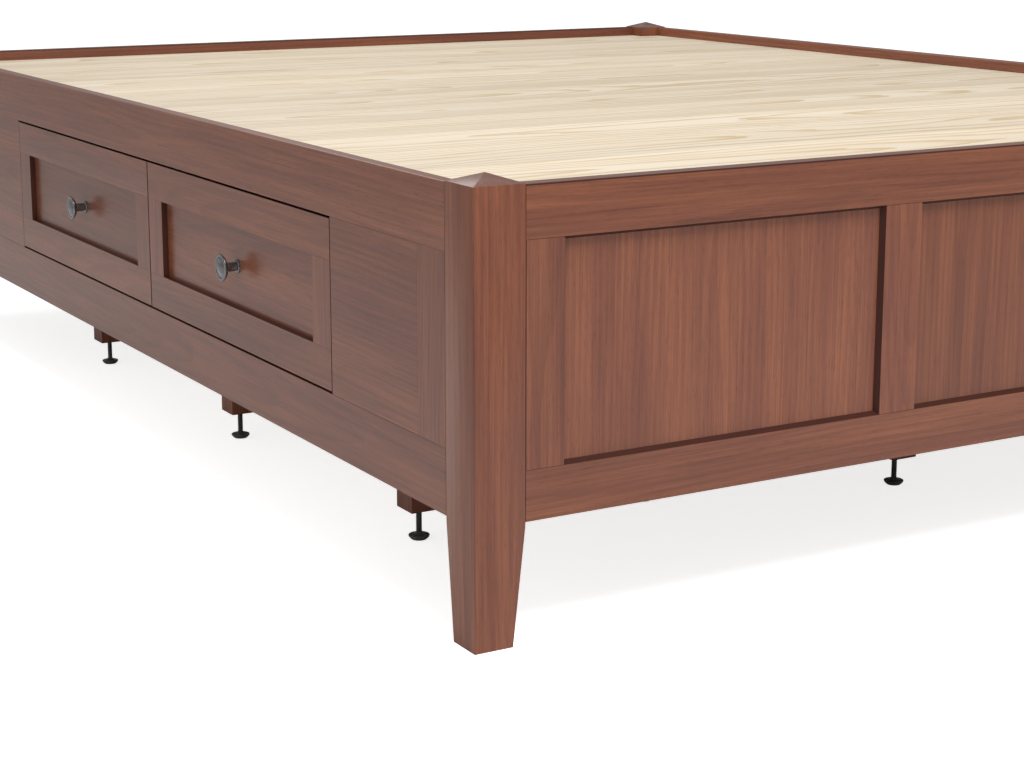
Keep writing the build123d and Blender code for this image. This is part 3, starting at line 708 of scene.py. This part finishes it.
def merge_and_face_outward():
    """In edit mode, close the seams of a mesh and turn its faces outwards."""
    bpy.ops.mesh.select_all(action="SELECT")
    bpy.ops.mesh.remove_doubles(threshold=MERGE_DISTANCE)
    bpy.ops.mesh.normals_make_consistent(inside=False)


def turned_pad(outline, sides):
    """A round pad, drawn up ring by ring through radii and heights."""
    radius, height = outline[0]
    bpy.ops.object.select_all(action="DESELECT")
    bpy.ops.mesh.primitive_circle_add(vertices=sides, radius=radius, fill_type="NGON")
    pad = bpy.context.object
    bpy.ops.object.mode_set(mode="EDIT")
    bpy.ops.mesh.select_all(action="SELECT")
    for next_radius, next_height in outline[1:]:
        lift = (0.0, 0.0, next_height - height)
        ratio = next_radius / radius
        bpy.ops.mesh.extrude_region_move(TRANSFORM_OT_translate={"value": lift})
        bpy.ops.transform.resize(value=(ratio, ratio, 1.0), center_override=(0.0, 0.0, next_height))
        radius, height = next_radius, next_height
    merge_and_face_outward()
    bpy.ops.object.mode_set(mode="OBJECT")
    return pad


def threaded_rod(low, high, radius, pitch):
    """A rod whose helical thread is one tooth of the thread turned up round the axis."""
    root = radius - pitch * 0.54
    turns = math.floor((high - low) / pitch) - 1
    tooth = [(root, 0.0), (radius, 0.42), (radius, 0.56), (root, 1.0)]
    mesh = bpy.data.meshes.new("threaded_rod")
    edges = [(i, i + 1) for i in range(len(tooth) - 1)]
    mesh.from_pydata([(reach, 0.0, low + part * pitch) for reach, part in tooth], edges, [])
    rod = bpy.data.objects.new("threaded_rod", mesh)
    bpy.context.scene.collection.objects.link(rod)
    apply_modifier(
        rod,
        "SCREW",
        axis="Z",
        angle=math.tau,
        screw_offset=pitch,
        iterations=turns,
        steps=THREAD_STEPS,
        render_steps=THREAD_STEPS,
        use_merge_vertices=False,
    )
    bpy.ops.object.mode_set(mode="EDIT")
    merge_and_face_outward()
    bpy.ops.mesh.fill_holes(sides=0)
    merge_and_face_outward()
    bpy.ops.object.mode_set(mode="OBJECT")
    return rod


def levelling_foot(pad_radius, stem_top, pitch):
    """A moulded pad with a soft rim and a grip collar, on a threaded stem."""
    outline = [
        (0.0080, 0.0),
        (0.0095, 0.0003),
        (pad_radius - 0.0023, 0.0020),
        (pad_radius - 0.0008, 0.0036),
        (pad_radius, 0.0054),
        (pad_radius - 0.0003, 0.0062),
        (pad_radius - 0.0010, 0.0066),
        (pad_radius - 0.0022, 0.0066),
        (pad_radius - 0.0028, 0.0063),
        (0.0078, 0.0068),
        (0.0066, 0.0074),
        (0.0056, 0.0076),
        (0.0052, 0.0079),
        (0.0052, 0.0090),
        (0.0048, 0.0094),
        (0.0041, 0.0094),
    ]
    pad = turned_pad(outline, PAD_SIDES)
    rod = threaded_rod(STEM_START, stem_top, STEM_RADIUS, pitch)
    bpy.ops.object.select_all(action="DESELECT")
    rod.select_set(True)
    pad.select_set(True)
    bpy.context.view_layer.objects.active = pad
    bpy.ops.object.join()
    bpy.ops.object.shade_smooth_by_angle(angle=FOOT_SMOOTH_ANGLE)
    return pad


def place_copy(model, name, place):
    """A copy of a model with its own mesh, moved to its place in that mesh."""
    piece = model.copy()
    piece.data = model.data.copy()
    piece.name = name
    bpy.context.scene.collection.objects.link(piece)
    piece.location = place
    select_only(piece)
    bpy.ops.object.transform_apply(location=True, rotation=False, scale=False)
    return piece


# Pieces of the bed

class BED_OT_posts(bpy.types.Operator):
    """Corner posts with sanded arrises and grain up the post"""

    bl_idname = "bed.posts"
    bl_label = "Corner Posts"

    def execute(self, context):
        for node in POSTS:
            finish_boards(node, context.scene.bed_details.frame_ease, "Z")
        return {"FINISHED"}


class BED_OT_end_frames(bpy.types.Operator):
    """Rails, stiles and panels of the foot and head ends"""

    bl_idname = "bed.end_frames"
    bl_label = "End Frames"

    def execute(self, context):
        ease = context.scene.bed_details.frame_ease
        for node in END_RAILS:
            finish_boards(node, ease, "X", "Y")
        for end in ENDS:
            finish_boards(f"{end}_stiles", ease, "Z", "Y")
            finish_boards(f"{end}_panels", ease, "Z")
        return {"FINISHED"}


class BED_OT_side_frames(bpy.types.Operator):
    """Rails, stiles and filler panels of the two long sides"""

    bl_idname = "bed.side_frames"
    bl_label = "Side Frames"

    def execute(self, context):
        ease = context.scene.bed_details.frame_ease
        for node in SIDE_RAILS:
            finish_boards(node, ease, "Y", "Z")
        finish_boards("side_stiles", ease, "Z")
        finish_boards("side_filler_panels", ease, "Y")
        return {"FINISHED"}


class BED_OT_deck(bpy.types.Operator):
    """Pale boards of the deck and the bearers below them"""

    bl_idname = "bed.deck"
    bl_label = "Deck"

    def execute(self, context):
        details = context.scene.bed_details
        finish_boards("deck_boards", details.deck_ease, "X")
        finish_boards("deck_bearers", details.inner_ease)
        return {"FINISHED"}


class BED_OT_cases(bpy.types.Operator):
    """Drawer cases and the legs under them"""

    bl_idname = "bed.cases"
    bl_label = "Cases and Legs"

    def execute(self, context):
        details = context.scene.bed_details
        finish_boards("drawer_cases", details.inner_ease)
        finish_boards("support_legs", details.frame_ease, "Z")
        return {"FINISHED"}


class BED_OT_drawers(bpy.types.Operator):
    """Drawer fronts with framed panels, and the boxes behind them"""

    bl_idname = "bed.drawers"
    bl_label = "Drawers"

    def execute(self, context):
        details = context.scene.bed_details
        for place in DRAWERS:
            finish_boards(f"drawer_front_{place}", details.frame_ease, front="X")
            finish_boards(f"drawer_box_{place}", details.inner_ease)
        return {"FINISHED"}


class BED_OT_hardware(bpy.types.Operator):
    """Knobs, slides, nuts, brackets and screws"""

    bl_idname = "bed.hardware"
    bl_label = "Hardware"

    def execute(self, context):
        for node, slot in SLOT_OF.items():
            if slot in ("zinc_steel", "dark_pewter"):
                finish_metal(node)
        return {"FINISHED"}


class BED_OT_levelling_feet(bpy.types.Operator):
    """Moulded pads on threaded stems"""

    bl_idname = "bed.levelling_feet"
    bl_label = "Levelling Feet"

    def execute(self, context):
        feet = [node for node, slot in SLOT_OF.items() if slot == "black_nylon"]
        low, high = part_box(feet[0])
        model = levelling_foot((high[0] - low[0]) / 2, high[2], context.scene.bed_details.thread_pitch)
        for node in feet:
            low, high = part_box(node)
            centre = ((low[0] + high[0]) / 2, (low[1] + high[1]) / 2, 0.0)
            piece = place_copy(model, f"{node}_foot", centre)
            piece.data.materials.append(finish_named(SLOT_OF[node]))
            settle(piece, node)
        bpy.data.objects.remove(model)
        return {"FINISHED"}


class BED_OT_studio(bpy.types.Operator):
    """Pale floor, soft lights and the camera"""

    bl_idname = "bed.studio"
    bl_label = "Studio"

    def execute(self, context):
        studio = context.scene.bed_studio
        self.add_floor()
        self.add_lights(context, studio)
        self.add_camera(context, studio)
        context.scene.view_settings.view_transform = "Standard"
        return {"FINISHED"}

    def add_floor(self):
        bpy.ops.object.select_all(action="DESELECT")
        bpy.ops.mesh.primitive_plane_add(size=FLOOR_SIZE, location=(0.0, 0.0, 0.0))
        floor = bpy.context.object
        floor.name = "studio_floor"
        floor.data.materials.append(finish_named("studio_floor"))

    def add_lights(self, context, studio):
        world = bpy.data.worlds.new("studio_sky")
        world.use_nodes = True
        tree = world.node_tree
        sky = tree.nodes["Background"]
        sky.inputs["Color"].default_value = WHITE
        seen = shader_node(tree, "ShaderNodeLightPath").outputs["Is Camera Ray"]
        dim = studio.sky_strength
        strength = math_node(tree, "MULTIPLY_ADD", seen, 1.0 - dim, dim)
        tree.links.new(strength, sky.inputs["Strength"])
        context.scene.world = world
        self.add_soft_light(context, "key_light", (-0.5, -2.6, 4.0), 2.4, studio.key_power)
        self.add_soft_light(context, "fill_light", (-4.0, -1.2, 1.5), 2.0, studio.fill_power)
        self.add_soft_light(context, "back_light", (0.0, 1.6, 1.75), 1.1, studio.back_power)

    def add_soft_light(self, context, name, place, size, power):
        """A round soft light aimed at the bed, itself out of the picture."""
        bpy.ops.object.light_add(type="AREA", location=place)
        lamp = context.object
        lamp.name = name
        lamp.data.energy = power
        lamp.data.shape = "DISK"
        lamp.data.size = size
        lamp.visible_camera = False
        aim = Vector(LIGHT_AIM) - lamp.location
        lamp.rotation_euler = aim.to_track_quat("-Z", "Y").to_euler()

    def add_camera(self, context, studio):
        bpy.ops.object.camera_add(location=CAMERA_PLACE)
        camera = context.object
        camera.name = "view_camera"
        camera.rotation_euler = (math.radians(90.0 - CAMERA_PITCH), 0.0, math.radians(-CAMERA_TURN))
        camera.data.lens = studio.lens
        camera.data.sensor_width = 36.0
        camera.data.shift_y = CAMERA_SHIFT
        camera.data.clip_end = 200.0
        context.scene.camera = camera


class BED_PT_panel(bpy.types.Panel):
    """Steps that finish the bed, in the order in which they run"""

    bl_idname = "BED_PT_panel"
    bl_label = "Platform Bed"
    bl_space_type = "VIEW_3D"
    bl_region_type = "UI"
    bl_category = "Bed"

    def draw(self, context):
        for step in STEPS:
            self.layout.operator(step.bl_idname)
        for group in (context.scene.bed_details, context.scene.bed_finishes, context.scene.bed_studio):
            box = self.layout.box()
            for name in group.bl_rna.properties.keys():
                if name not in ("rna_type", "name"):
                    box.prop(group, name)


STEPS = (
    BED_OT_posts,
    BED_OT_end_frames,
    BED_OT_side_frames,
    BED_OT_deck,
    BED_OT_cases,
    BED_OT_drawers,
    BED_OT_hardware,
    BED_OT_levelling_feet,
    BED_OT_studio,
)
SETTINGS = (BedDetails, BedFinishes, BedStudio)


def register():
    for item in (*SETTINGS, *STEPS, BED_PT_panel):
        bpy.utils.register_class(item)
    bpy.types.Scene.bed_details = PointerProperty(type=BedDetails)
    bpy.types.Scene.bed_finishes = PointerProperty(type=BedFinishes)
    bpy.types.Scene.bed_studio = PointerProperty(type=BedStudio)


def unregister():
    del bpy.types.Scene.bed_studio
    del bpy.types.Scene.bed_finishes
    del bpy.types.Scene.bed_details
    for item in reversed((*SETTINGS, *STEPS, BED_PT_panel)):
        bpy.utils.unregister_class(item)


def run_step(step):
    """Call an operator by its bl_idname."""
    family, name = step.bl_idname.split(".")
    getattr(getattr(bpy.ops, family), name)()


def main():
    register()
    for step in STEPS:
        run_step(step)


if __name__ == "__main__":
    main()
